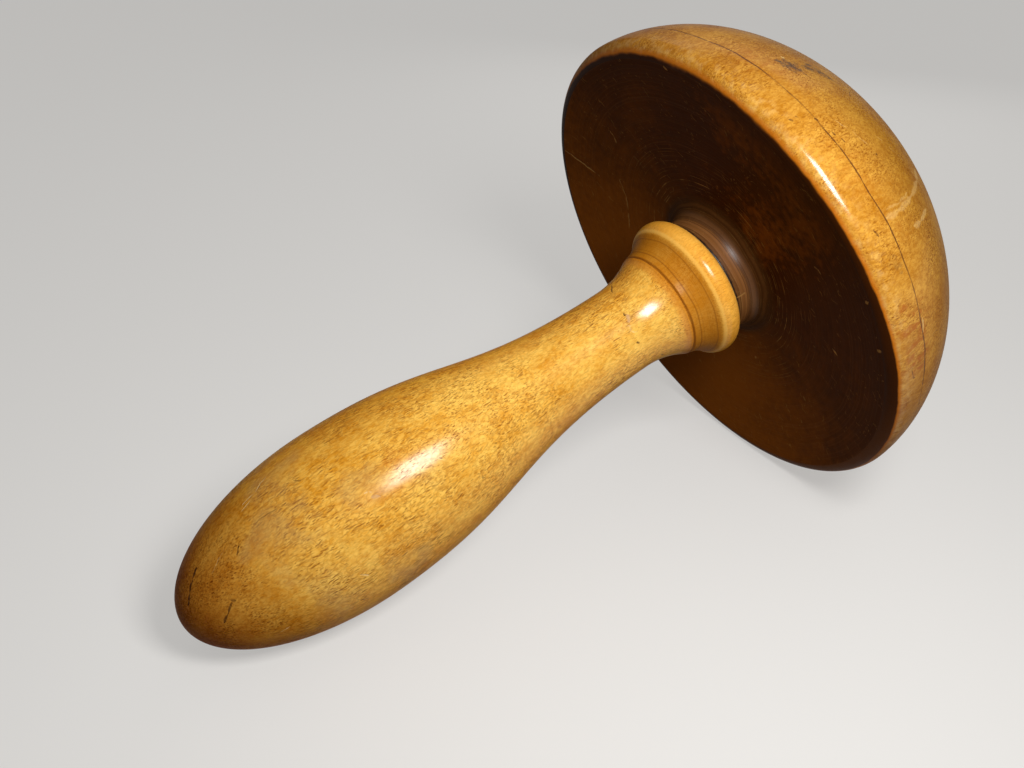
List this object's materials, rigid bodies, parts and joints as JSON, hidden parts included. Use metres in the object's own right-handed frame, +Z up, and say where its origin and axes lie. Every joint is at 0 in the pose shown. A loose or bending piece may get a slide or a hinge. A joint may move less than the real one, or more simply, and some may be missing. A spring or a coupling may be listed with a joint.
{
  "type": "darning mushroom",
  "caption": "Turned wooden darning mushroom: a domed cap to stretch cloth over, on a long swelling handle that turns and pulls apart at a collar.",
  "frame": {"origin": "on the table, under the middle of the bounding box of the mushroom as it lies", "axes": "+Z up from the table; +X along the mushroom, from the handle's rounded end towards the crown of the cap; the axis of the turning lies in the XZ plane and rises 18 degrees towards the cap"},
  "size_m": [0.129, 0.082, 0.0789],
  "materials": {
    "cap": "amber varnish, gloss; underside stained dark brown",
    "handle": "amber varnish, gloss",
    "peg": "bare, sanded"
  },
  "bodies": {
    "handle": {"handle": "handle"},
    "peg": {"peg": "peg"},
    "cap": {"cap": "cap"}
  },
  "joints": [
    {"name": "cap_turn", "type": "hinge", "parent": "handle", "child": "peg", "pos_m": [0.02839, 0, 0.03771], "axis": [0.9491, 0, 0.3149], "continuous": true},
    {"name": "cap_pull", "type": "slide", "parent": "peg", "child": "cap", "axis": [0.9491, 0, 0.3149], "range_m": [0, 0.016]}
  ]
}
